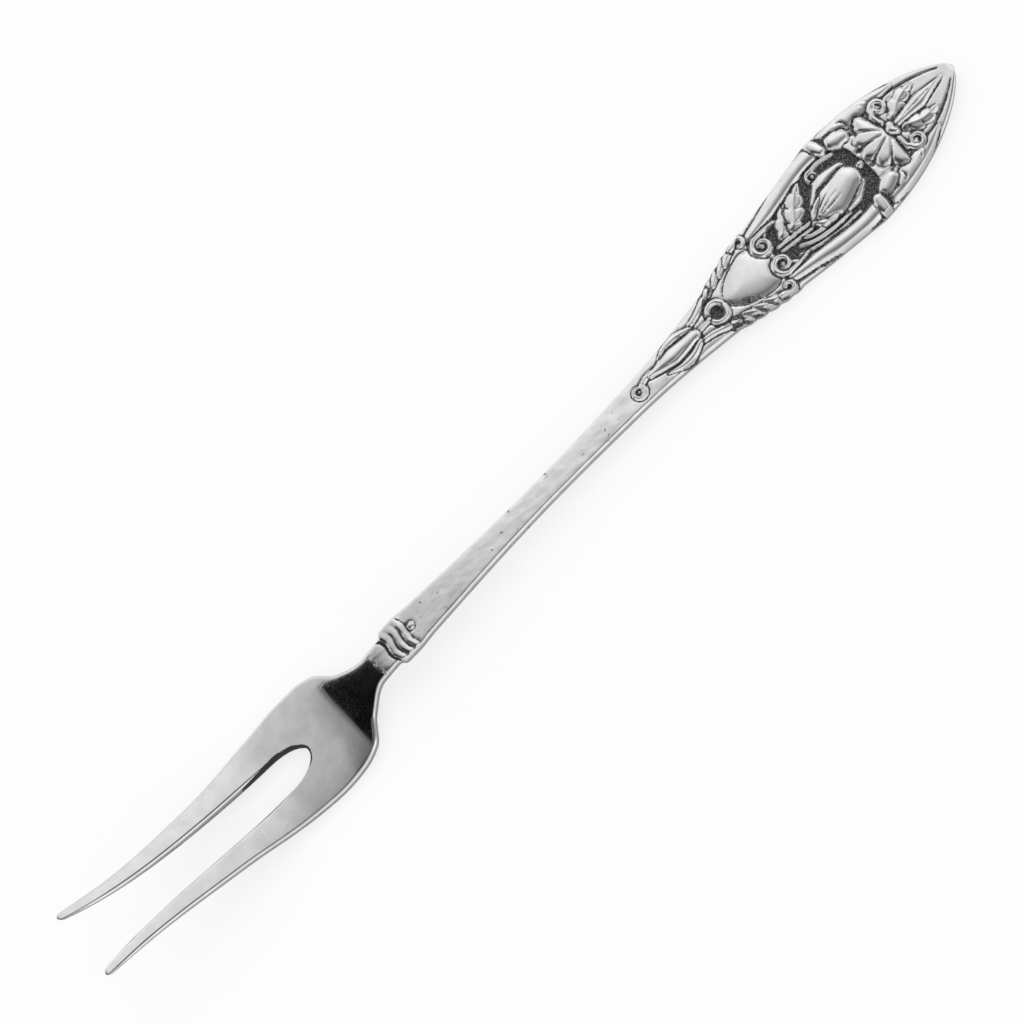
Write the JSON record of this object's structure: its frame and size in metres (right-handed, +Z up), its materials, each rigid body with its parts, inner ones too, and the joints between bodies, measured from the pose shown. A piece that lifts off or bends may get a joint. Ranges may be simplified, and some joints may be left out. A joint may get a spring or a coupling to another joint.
{
  "type": "cold meat fork",
  "caption": "Slender serving fork for sliced cold meat, with long flaring tines, a collared neck and a pointed handle carved in relief.",
  "frame": {"origin": "middle of the fork's footprint, on the surface it lies on", "axes": "+X along the fork towards the tip of the handle, +Y across it, +Z up out of its front face"},
  "size_m": [0.155, 0.0148, 0.0121],
  "materials": {
    "silver": "polished silver, softly worn, with dark oxide left in the carved recesses"
  },
  "bodies": {
    "root": {"cold_meat_fork": "silver"}
  },
  "joints": []
}
